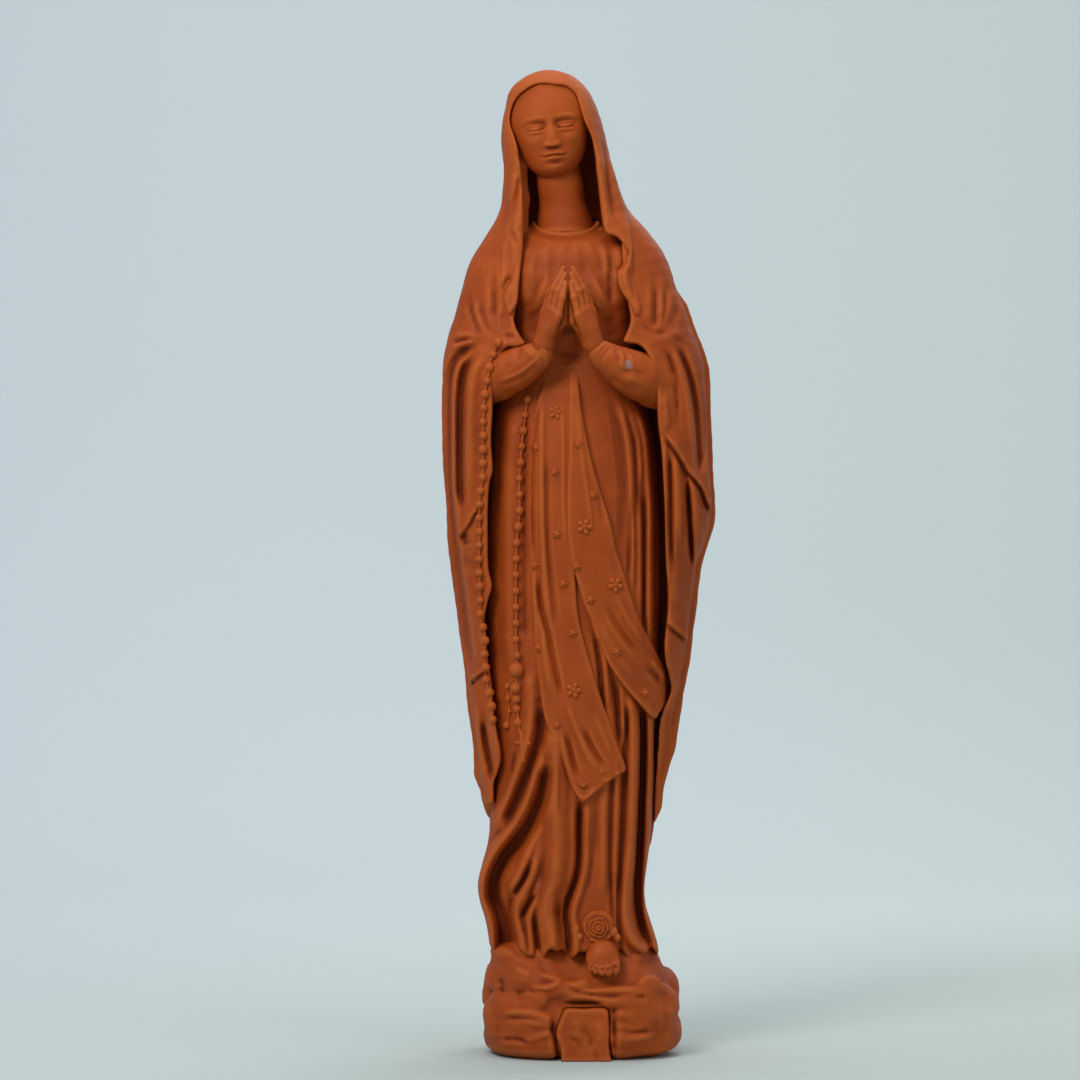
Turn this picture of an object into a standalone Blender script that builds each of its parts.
"""Standing Madonna statue, about 600 mm tall, pressed in terracotta and joined from separate parts.

Frame: metres, +Z up, the figure faces -Y, and the origin is the centre of the bounding box on the
surface that the rock stands on. Lengths in the tables are millimetres. "Right" and "left" in the
names are the figure's own, so the right hand is on the -X side.
"""

import math

import bmesh
import bpy
import numpy as np
from mathutils import Matrix, Vector

MM = 0.001
GAP = 0.4  # joint line between two neighbouring parts
WALL = 7.0  # pressed clay wall
ROCK_TOP = 54.0
SHOULDER_SEAM = 500.0  # the veil is joined to the mantle here
TOTAL_HEIGHT = 600.0

# height, centre x, centre y, half width, half depth
ROCK = (
    (0.0, 3.5, 0.0, 55.0, 46.0),
    (4.0, 3.5, 0.0, 58.0, 50.0),
    (16.0, 3.5, 0.0, 60.5, 53.0),
    (30.0, 3.5, 0.0, 60.5, 53.0),
    (43.0, 2.5, 0.0, 58.0, 51.5),
    (ROCK_TOP, 0.5, 0.0, 54.5, 48.0),
)
GOWN = (
    (54.0, -3.0, 0.0, 49.0, 41.0),
    (80.0, -5.0, 0.0, 46.5, 40.0),
    (105.0, -8.0, 0.0, 46.5, 39.0),
    (130.0, -5.0, 0.0, 45.5, 38.0),
    (160.0, -2.0, 0.0, 46.0, 37.0),
    (220.0, 1.5, 0.0, 51.0, 36.0),
    (300.0, 0.5, 0.0, 50.0, 35.0),
    (360.0, 0.0, 1.0, 47.0, 33.0),
    (400.0, -1.0, 2.0, 39.0, 29.0),
    (430.0, -2.0, 3.0, 40.0, 29.0),
    (460.0, -3.0, 4.0, 43.0, 30.0),
    (485.0, -5.0, 6.0, 38.0, 26.0),
    (498.0, -7.0, 8.0, 27.0, 20.0),
    (506.0, -8.0, 9.0, 18.0, 16.0),
)
MANTLE = (
    (90.0, -8.0, 4.0, 51.0, 44.0),
    (112.0, -7.0, 4.0, 51.0, 43.0),
    (150.0, -3.0, 4.0, 54.0, 42.0),
    (188.0, -2.0, 4.0, 59.0, 42.0),
    (236.0, -1.0, 4.0, 66.0, 42.0),
    (285.0, -2.0, 3.0, 73.0, 43.0),
    (333.0, 0.0, 1.0, 80.0, 45.0),
    (357.0, 0.0, 0.5, 80.5, 45.5),
    (381.0, 0.0, 0.0, 80.0, 46.0),
    (410.0, -1.5, 0.0, 78.5, 46.0),
    (430.0, -3.0, 1.0, 76.0, 44.0),
    (454.0, -4.0, 3.0, 69.0, 40.0),
    (478.0, -5.0, 5.0, 61.5, 36.0),
    (490.0, -5.0, 6.0, 56.0, 34.0),
    (502.0, -6.0, 7.0, 47.0, 32.0),
    (515.0, -8.0, 8.0, 38.5, 31.0),
    (530.0, -10.5, 8.0, 35.0, 32.0),
    (551.0, -13.5, 8.0, 32.5, 34.0),
    (569.0, -15.5, 8.0, 29.5, 32.0),
    (581.0, -16.5, 8.0, 26.0, 27.0),
    (590.0, -17.0, 8.0, 20.0, 20.0),
    (596.0, -17.0, 8.0, 13.0, 12.0),
    (TOTAL_HEIGHT, -17.0, 8.0, 2.0, 2.0),
)
HEAD = (
    (506.4, -8.0, 9.0, 14.5, 12.5),
    (514.0, -8.5, 7.5, 12.5, 12.0),
    (523.0, -10.0, 5.0, 12.5, 13.5),
    (530.0, -12.0, -1.0, 13.5, 16.0),
    (537.0, -13.0, -1.0, 17.5, 21.0),
    (548.0, -14.0, 0.0, 21.5, 23.5),
    (562.0, -15.0, 1.0, 22.5, 24.5),
    (576.0, -16.0, 2.0, 20.0, 21.0),
    (585.0, -17.0, 3.0, 13.0, 14.0),
    (589.0, -17.0, 3.0, 6.0, 7.0),
)
# the heights at which gown and mantle have their rings, so that their faces keep apart in between
LEVELS = (75, 90, 112, 132, 154, 180, 205, 230, 255, 280, 305, 333, 357, 381, 400, 415, 430,
          445, 458, 470, 480, 488, 494)
# height and x of the mantle's two front edges
RIGHT_EDGE = ((154, -50), (200, -50), (250, -56), (300, -58), (350, -57), (400, -53),
              (425, -48), (435, -42), (455, -36), (480, -33), (502, -32))
LEFT_EDGE = ((112, 40), (150, 44), (200, 52), (250, 56), (300, 55), (360, 50),
             (400, 46), (425, 41), (440, 33), (460, 25), (480, 20), (502, 16))
FACE_OPENING = ((-32, 498), (-32, 520), (-35, 537), (-38.5, 551), (-39, 566), (-36, 580),
                (-28, 588.5), (-18, 591), (-8, 589.5), (0, 584), (5, 573), (9, 556),
                (13, 537), (15, 520), (16.5, 498))


def row_at(table, height):
    """The row of a station table at a height, on a smooth cubic through its rows."""
    rows = np.array(table, float)
    z = rows[:, 0]
    height = min(max(height, z[0]), z[-1])
    i = int(min(max(np.searchsorted(z, height) - 1, 0), len(z) - 2))
    slopes = np.gradient(rows[:, 1:], z, axis=0)
    span = z[i + 1] - z[i]
    t = (height - z[i]) / span
    start, end = rows[i, 1:], rows[i + 1, 1:]
    return (
        start * (1 + 2 * t) * (1 - t) ** 2
        + end * t * t * (3 - 2 * t)
        + span * (slopes[i] * t * (1 - t) ** 2 - slopes[i + 1] * t * t * (1 - t))
    )


def section_point(table, height, angle, outwards=0.0, squareness=2.2):
    """A point of a body's section. The angle is 0 at the front and grows towards +X."""
    cx, cy, a, b = row_at(table, height)
    s, c = math.sin(angle), math.cos(angle)
    power = 2 / squareness
    x = cx + (a + outwards) * math.copysign(abs(s) ** power, s)
    y = cy - (b + outwards) * math.copysign(abs(c) ** power, c)
    return Vector((x, y, height))


def radius_towards(table, height, direction, outwards=0.0, squareness=2.2):
    """How far a body's section reaches from its centre in one horizontal direction."""
    _, _, a, b = row_at(table, height)
    share = (abs(direction.x) / (a + outwards)) ** squareness
    share += (abs(direction.y) / (b + outwards)) ** squareness
    return share ** (-1 / squareness)


def full_ring(table, height, sides, outwards=0.0, squareness=2.2):
    return [
        section_point(table, height, 2 * math.pi * k / sides, outwards, squareness)
        for k in range(sides)
    ]


def edge_angle(table, height, x, squareness=2.2):
    """The angle at which a body's section has this x, on its front half."""
    cx, _, a, _ = row_at(table, height)
    share = min(max((x - cx) / a, -1.0), 1.0)
    return math.asin(math.copysign(abs(share) ** (squareness / 2), share))


def clay(name, colour, roughness=0.62):
    material = bpy.data.materials.get(name) or bpy.data.materials.new(name)
    material.use_nodes = True
    shader = material.node_tree.nodes["Principled BSDF"]
    shader.inputs["Base Color"].default_value = (*colour, 1)
    shader.inputs["Roughness"].default_value = roughness
    shader.inputs["Metallic"].default_value = 0.0
    return material


def terracotta():
    return clay("terracotta", (0.36, 0.105, 0.03))


def glossy_clay():
    return clay("burnished_terracotta", (0.30, 0.095, 0.03), 0.42)


def solid(name, points, faces, material=None, shown=True):
    """A closed mesh object from points in millimetres."""
    mesh = bpy.data.meshes.new(name)
    mesh.from_pydata([Vector(p) * MM for p in points], [], faces)
    work = bmesh.new()
    work.from_mesh(mesh)
    bmesh.ops.recalc_face_normals(work, faces=work.faces)
    work.to_mesh(mesh)
    work.free()
    mesh.materials.append(material or terracotta())
    mesh.shade_smooth()
    mesh.set_sharp_from_angle(angle=math.radians(40))
    made = bpy.data.objects.new(name, mesh)
    bpy.context.scene.collection.objects.link(made)
    if not shown:
        made.hide_render = True
        made.display_type = "WIRE"
    return made


def loft(name, rings, closed=False, material=None, shown=True):
    """A solid through rings of equal size: capped at both ends, or closed on itself like a tyre."""
    count = len(rings[0])
    points = [p for ring in rings for p in ring]
    pairs = list(zip(range(len(rings) - 1), range(1, len(rings))))
    if closed:
        pairs.append((len(rings) - 1, 0))
    faces = [
        (a * count + k, a * count + (k + 1) % count, b * count + (k + 1) % count, b * count + k)
        for a, b in pairs
        for k in range(count)
    ]
    if not closed:
        faces.append(tuple(range(count)))
        faces.append(tuple(range((len(rings) - 1) * count, len(rings) * count)))
    return solid(name, points, faces, material, shown)


def heights(low, high, count):
    return [low + (high - low) * i / (count - 1) for i in range(count)]


def levels(low, high):
    """The shared ring heights between two ends, with the ends."""
    return [low, *(z for z in LEVELS if low + 2 < z < high - 2), high]


def cut(obj, cutter, operation="DIFFERENCE"):
    modifier = obj.modifiers.new(cutter.name, "BOOLEAN")
    modifier.operation = operation
    modifier.solver = "EXACT"
    modifier.object = cutter
    return obj


def curve_through(points, count):
    """Points evenly spread on a smooth curve through the given ones."""
    knots = [Vector(p) for p in points]
    knots = [2 * knots[0] - knots[1], *knots, 2 * knots[-1] - knots[-2]]
    dense = []
    for i in range(1, len(knots) - 2):
        a, b, c, d = knots[i - 1 : i + 3]
        for step in range(24):
            t = step / 24
            dense.append(
                0.5 * (2 * b + (c - a) * t + (2 * a - 5 * b + 4 * c - d) * t * t
                       + (3 * b - a - 3 * c + d) * t**3)
            )
    dense.append(knots[-2])
    lengths = np.concatenate([[0], np.cumsum([(q - p).length for p, q in zip(dense, dense[1:])])])
    wanted = np.linspace(0, lengths[-1], count)
    return [Vector([np.interp(w, lengths, [p[k] for p in dense]) for k in range(3)]) for w in wanted]


def tube(name, path, radii, sides, flatten=1.0, material=None, shown=True):
    """A solid swept along a path, with a radius at each point. flatten squeezes it front to back."""
    rings = []
    for i, point in enumerate(path):
        along = (path[min(i + 1, len(path) - 1)] - path[max(i - 1, 0)]).normalized()
        across = along.cross(Vector((0, 1, 0)))
        across = (across if across.length > 0.1 else along.cross(Vector((1, 0, 0)))).normalized()
        depth = across.cross(along).normalized()
        rings.append([
            point + across * radii[i] * math.cos(turn) + depth * radii[i] * flatten * math.sin(turn)
            for turn in (2 * math.pi * k / sides for k in range(sides))
        ])
    return loft(name, rings, material=material, shown=shown)


# ---- rock ------------------------------------------------------------------------------------

VENT_HALF_WIDTH, VENT_HALF_DEPTH = 29.0, 26.0
BLOCK_X, BLOCK_HALF_WIDTH, BLOCK_HEIGHT, BLOCK_FACE = 5.5, 14.5, 36.0, -52.6


def rock_base():
    """The rock: a hollow press-moulded base, open through its middle as the kiln vent."""
    outer = [full_ring(ROCK, row[0], 48, squareness=2.7) for row in ROCK]
    vent = [
        [Vector((VENT_HALF_WIDTH * math.sin(t), -VENT_HALF_DEPTH * math.cos(t), z))
         for t in (2 * math.pi * k / 48 for k in range(48))]
        for z in (ROCK_TOP, 0.0)
    ]
    rock = loft("rock_base", outer + vent, closed=True)
    return cut(rock, block("rock_front_recess", GAP, shown=False))


def block(name, outwards=0.0, shown=True):
    """The squared stone in the front of the rock."""
    low_x, high_x = BLOCK_X - BLOCK_HALF_WIDTH - outwards, BLOCK_X + BLOCK_HALF_WIDTH + outwards
    front = BLOCK_FACE - (10 if outwards else 0)
    back, top, bevel = -44.0 + outwards, BLOCK_HEIGHT + outwards, 1.5
    bottom = -1.0 if outwards else 0.0
    rings = []
    for y, inset in ((back, 0.0), (front + bevel, 0.0), (front, bevel)):
        rings.append([
            Vector((low_x + inset, y, bottom)), Vector((high_x - inset, y, bottom)),
            Vector((high_x - inset, y, top - inset)), Vector((low_x + inset, y, top - inset)),
        ])
    return loft(name, rings, shown=shown)


# ---- figure ----------------------------------------------------------------------------------


def gown():
    """Gown and torso: one hollow pressing, open below, with a closed neck stump on top."""
    bottom = ROCK_TOP + GAP
    outer = [full_ring(GOWN, z, 48) for z in (*levels(bottom, SHOULDER_SEAM), 506.0)]
    inner = [full_ring(GOWN, z, 48, -WALL) for z in heights(bottom, 470.0, 12)]
    return loft("gown_shell", inner[::-1] + outer)


def mantle_ring(height, start, stop, count, thickness):
    """A band of the mantle's section between two angles: its outer face and then its inner one."""
    outer, inner = [], []
    for i in range(count):
        angle = start + (stop - start) * i / (count - 1)
        face = section_point(MANTLE, height, angle)
        centre = Vector((*row_at(GOWN, height)[:2], height))
        spoke = face - centre
        depth = thickness(abs(angle))
        gown_reach = radius_towards(GOWN, height, spoke.normalized(), GAP + 0.4)
        outer.append(face)
        inner.append(centre + spoke.normalized() * max(spoke.length - depth, gown_reach))
    return outer + inner[::-1]


def fold_thickness(angle):
    """Thin at the front edge, and solid down to the gown where the arm is inside."""
    return 9.0 + 30.0 * min(max((angle - math.radians(50)) / math.radians(25), 0), 1)


SIDE_SEAM = math.radians(115)
SEAM_ANGLE = math.radians(0.45)


def mantle_side(name, side, edge, bottom):
    """One fall of the mantle, from its front edge to the side seam. side is -1 or 1 in x."""
    rings = []
    for z in levels(bottom, SHOULDER_SEAM):
        start = edge_angle(MANTLE, z, row_at(edge, z)[0])
        rings.append(mantle_ring(z, start, side * (SIDE_SEAM - SEAM_ANGLE), 14, fold_thickness))
    return loft(name, rings)


def mantle_back():
    rings = [
        mantle_ring(z, SIDE_SEAM, 2 * math.pi - SIDE_SEAM, 18, lambda angle: 14.0)
        for z in levels(90.0, SHOULDER_SEAM)
    ]
    return loft("mantle_back", rings)


def veil():
    """The hood of the mantle over the head, open at the face."""
    low, wall = SHOULDER_SEAM + GAP, 5.0
    outer = [full_ring(MANTLE, z, 40) for z in (*heights(low, 586.0, 10), 592.0, 596.5, TOTAL_HEIGHT)]
    hood = loft("veil", outer)
    inside = [full_ring(MANTLE, z, 40, -wall) for z in (low - 5, *heights(low, 584.0, 8))]
    inside.append([p.lerp(Vector((-17, 8, 594)), 0.6) + Vector((0, 0, 4)) for p in inside[-1]])
    cut(hood, loft("hood_hollow", inside, shown=False))
    front = [Vector((x, -60.0, z)) for x, z in FACE_OPENING]
    back = [Vector((x, 4.0, z)) for x, z in FACE_OPENING]
    return cut(hood, loft("face_opening", [front, back], shown=False))


def neck_band():
    """The rolled collar of the gown."""
    rings = []
    for outwards, lift in ((1.2, -2.0), (2.4, 0.0), (1.4, 1.8), (-1.2, 1.6), (-1.2, -1.2)):
        ring = full_ring(GOWN, 506.0, 32, outwards)
        rings.append([p + Vector((0, 0, lift + 3.2)) for p in ring])
    return loft("neck_band", rings, closed=True)


def head():
    """Head and neck, pressed on their own and set into the collar."""
    rings = [full_ring(HEAD, z, 24, squareness=2.0) for z in heights(506.4, 589.0, 15)]
    made = loft("head", rings)
    nose = [
        [Vector((-14.0 + w * math.sin(t), y - h * math.cos(t), z))
         for t in (2 * math.pi * k / 8 for k in range(8))]
        for z, y, w, h in ((541, -19, 2.5, 4), (544, -20.5, 4.2, 6), (556, -20, 2.2, 4), (566, -18, 1.5, 3))
    ]
    return cut(made, loft("nose_form", nose, shown=False), "UNION")


# ---- arms and hands --------------------------------------------------------------------------


def mirrored(points, side):
    """Points given for the left arm, put on either side of the figure's middle at the hands."""
    middle = -4.5
    return [Vector((middle + (x - middle) * side, y, z)) for x, y, z in points]


FOREARM = ((51, -5, 394), (43, -20, 401), (32, -33, 411), (18, -42, 424))
FOREARM_RADII = (15.0, 14.0, 11.5, 8.0)


def sleeve(name, side, outwards=0.0, shown=True):
    path = curve_through(mirrored(FOREARM, side), 10)
    shares = np.linspace(0, len(FOREARM_RADII) - 1, len(path))
    radii = [np.interp(s, range(len(FOREARM_RADII)), FOREARM_RADII) + outwards for s in shares]
    return tube(name, path, radii, 20, shown=shown)


# fingertip, knuckle and wrist points of the left hand, with radii
FINGERS = (
    ((-2.3, -38.0, 473.0), (-0.6, -37.5, 451.0), 2.2),
    ((-2.3, -42.0, 476.0), (-0.6, -42.0, 452.0), 2.3),
    ((-2.3, -46.2, 474.0), (-0.6, -46.4, 451.0), 2.2),
    ((-2.3, -50.0, 467.0), (-0.4, -50.4, 449.0), 2.0),
)
THUMB = ((-2.4, -34.0, 458.0), (2.5, -35.5, 445.0), 2.5)
PALM = ((13.0, -43.0, 428.5), (6.5, -43.5, 438.0), (1.6, -44.0, 451.0))


def hand(name, side):
    """Palm, four fingers and thumb, merged into one closed form."""
    palm_path = curve_through(mirrored(PALM, side), 6)
    tube(name, palm_path, [6.0, 6.4, 6.8, 7.2, 6.8, 5.2], 14, material=glossy_clay())
    palm = bpy.data.objects[name]
    squeeze = Matrix.Translation(palm_path[-1] * MM)
    for vertex in palm.data.vertices:
        share = min(max((vertex.co.z / MM - 430) / 20, 0), 1)
        centre = (squeeze.translation.x - (1 - share) * 0.011 * -side)
        vertex.co.x = centre + (vertex.co.x - centre) * (1 - 0.45 * share)
    for index, (tip, knuckle, radius) in enumerate((*FINGERS, THUMB)):
        path = curve_through(mirrored((knuckle, tip), side), 5)
        start = path[0] + (path[0] - path[1]).normalized() * 5
        finger = tube(f"{name}_finger_{index}", [start, *path], [radius * s for s in (0.9, 1.1, 1.1, 1.0, 0.9, 0.5)],
                      10, shown=False)
        cut(palm, finger, "UNION")
    return palm


# ---- sash, rosary, sprigs, foot --------------------------------------------------------------


def gown_front(x, z, outwards=0.0):
    """The point of the gown's front at this x and height."""
    return section_point(GOWN, z, edge_angle(GOWN, z, x), outwards)


def sash_tail(name, left, right, outwards=0.0, shown=True):
    """A tail of the sash lying on the gown. left and right are (x, z) outlines, top to bottom."""
    thickness, columns, rows = 3.0, 6, 14
    lefts = curve_through([(x - outwards, 0, z) for x, z in left], rows)
    rights = curve_through([(x + outwards, 0, z) for x, z in right], rows)
    for end, lift in ((0, outwards), (-1, -outwards)):
        lefts[end].z += lift
        rights[end].z += lift
    rings = []
    for a, b in zip(lefts, rights):
        back, front = [], []
        for c in range(columns):
            p = a.lerp(b, c / (columns - 1))
            back.append(gown_front(p.x, p.z, TAIL_LIFT - outwards))
            front.append(gown_front(p.x, p.z, TAIL_LIFT + thickness + outwards))
        rings.append(back + front[::-1])
    return loft(name, rings, shown=shown)


RIGHT_TAIL = (
    ((-25, 409), (-29, 380), (-29, 330), (-27, 280), (-22, 235), (-12, 195), (3, 163)),
    ((-4, 409), (-5, 370), (-5, 320), (-1, 285), (9, 245), (20, 205), (30, 175)),
)
LEFT_TAIL = (
    ((-2.5, 409), (-3, 370), (-3, 330), (2, 290), (13, 262), (28, 232), (44, 208)),
    ((2.5, 409), (8, 370), (14, 330), (26, 300), (36, 275), (46, 246), (51, 224)),
)
TAIL_LIFT = 1.2

ROSARY_OUTER = ((-55, 379), (-57, 362), (-58, 340), (-58.5, 300), (-57, 265), (-54, 235), (-50, 205))
ROSARY_INNER = ((-31, 392), (-34, 365), (-35, 330), (-35.5, 290), (-35.5, 250), (-34, 215))
BEAD_RADIUS, CORD_RADIUS, BEAD_PITCH = 2.4, 0.9, 8.4


def mantle_front(x, z, outwards=0.0):
    return section_point(MANTLE, z, edge_angle(MANTLE, z, x), outwards)


def rosary_strand(name, route, surface, stand_off):
    """Beads on a cord, in one relief strip that stands just off the drapery behind it."""
    path = curve_through([surface(x, z, stand_off) for x, z in route], 200)
    length = sum((q - p).length for p, q in zip(path, path[1:]))
    beads = round(length / BEAD_PITCH)
    # along one pitch: cord, shoulder, crown and shoulder of a bead
    profile = ((0.12, CORD_RADIUS), (0.3, BEAD_RADIUS * 0.8), (0.5, BEAD_RADIUS), (0.7, BEAD_RADIUS * 0.8),
               (0.88, CORD_RADIUS))
    places = [(bead + share, radius) for bead in range(beads) for share, radius in profile]
    points = [path[min(round(place / beads * 199), 199)] for place, _ in places]
    return tube(name, points, [radius for _, radius in places], 6)


def rosary_cross():
    """The crucifix at the end of the rosary: a plain cross with no figure."""
    centre = gown_front(-34, 196, 5.6)
    outline = [(-1.6, 9), (1.6, 9), (1.6, 5), (5, 5), (5, 2), (1.6, 2), (1.6, -9), (-1.6, -9), (-1.6, 2), (-5, 2),
               (-5, 5), (-1.6, 5)]
    layers = [[Vector((centre.x + x, centre.y + y, centre.z + z)) for x, z in outline] for y in (1.4, -1.4)]
    return loft("rosary_cross", layers)


ROSETTES = ((-12.5, 392), (-2, 224), (6, 322), (23.5, 287))
BUDS_RIGHT_TAIL = ((-24, 370), (-12.5, 355), (-12.5, 317), (-25.5, 298), (-8, 287), (-3, 258), (-20, 252), (-10, 204))
BUDS_LEFT_TAIL = ((0.5, 371), (9.5, 341), (0.5, 298), (9, 278), (25, 247), (38, 232))


def sprig(name, x, z, petals):
    """A sprigged flower (with petals) or bud (without) pressed onto a sash tail."""
    base = gown_front(x, z, TAIL_LIFT + 3.0 + 0.3)
    normal = (gown_front(x, z, 20) - gown_front(x, z, 0)).normalized()
    turn = Vector((0, 0, 1)).rotation_difference(normal).to_matrix()
    radius, sides = (4.0, petals * 4) if petals else (2.3, 10)
    rings = []
    for share, height in ((0.92, 0.5), (1.0, 0.9), (0.75, 1.7), (0.3, 2.2)):
        ring = []
        for k in range(sides):
            t = 2 * math.pi * k / sides
            reach = radius * share * (0.78 + 0.22 * math.cos(petals * t) if petals else 1.0)
            ring.append(base + turn @ Vector((reach * math.cos(t), reach * math.sin(t), height)))
        rings.append(ring)
    return loft(name, rings)


ROSE_CENTRE = Vector((12.0, -43.3, 80.0))


def foot():
    """The toes of the left foot, standing out from under the hem onto the rock's front."""
    sections = ((-41.9, 9.0, 7.0, 62.4), (-44, 9.5, 7.2, 62.2), (-47, 9.8, 6.6, 61.6),
                (-49.5, 9.2, 5.2, 60.2), (-51, 7.0, 3.4, 58.8))
    rings = [
        [Vector((15.2 + w * math.cos(t), y, max(z + h * math.sin(t), ROCK_TOP + GAP)))
         for t in (2 * math.pi * k / 20 for k in range(20))]
        for y, w, h, z in sections
    ]
    return loft("left_foot", rings, material=glossy_clay())


def foot_rose():
    """The rose that lies on the foot: rings of petals round a bud."""
    rings = []
    for depth, radius in ((1.6, 7.6), (0.4, 8.4), (-1.2, 8.0), (-2.4, 5.6), (-3.2, 5.2), (-4.4, 2.6)):
        rings.append([
            ROSE_CENTRE + Vector((radius * (1 + 0.06 * math.cos(5 * t)) * math.cos(t), depth,
                                  radius * (1 + 0.06 * math.cos(5 * t)) * math.sin(t)))
            for t in (2 * math.pi * k / 20 for k in range(20))
        ])
    return loft("foot_rose", rings)


def build():
    for obj in list(bpy.data.objects):
        bpy.data.objects.remove(obj, do_unlink=True)
    rock_base()
    block("rock_front_block")
    gown()
    right = mantle_side("mantle_right_fall", -1, RIGHT_EDGE, 154.0)
    left = mantle_side("mantle_left_fall", 1, LEFT_EDGE, 112.0)
    mantle_back()
    veil()
    neck_band()
    head()
    body = gown_clearance()
    for side, fall, label in ((-1, right, "right"), (1, left, "left")):
        arm = sleeve(f"{label}_sleeve", side)
        cut(arm, body)
        cut(fall, sleeve(f"{label}_sleeve_clearance", side, GAP, shown=False))
        hand(f"{label}_hand", side)
    sash_tail("sash_right_tail", *RIGHT_TAIL)
    sash_tail("sash_left_tail", *LEFT_TAIL)
    cut(left, sash_tail("sash_clearance", *LEFT_TAIL, outwards=GAP, shown=False))
    rosary_strand("rosary_outer_strand", ROSARY_OUTER, mantle_front, BEAD_RADIUS + 0.8)
    rosary_strand("rosary_inner_strand", ROSARY_INNER, gown_front, BEAD_RADIUS + 1.0)
    rosary_cross()
    for i, place in enumerate(ROSETTES):
        sprig(f"rosette_{i + 1}", *place, 5)
    for i, place in enumerate((*BUDS_RIGHT_TAIL, *BUDS_LEFT_TAIL)):
        sprig(f"bud_{i + 1:02d}", *place, 0)
    foot()
    foot_rose()


def gown_clearance():
    """The gown grown by the joint gap, which cuts what lies against it."""
    rings = [full_ring(GOWN, z, 48, GAP + 0.2) for z in heights(350.0, 460.0, 8)]
    return loft("gown_clearance", rings, shown=False)


build()
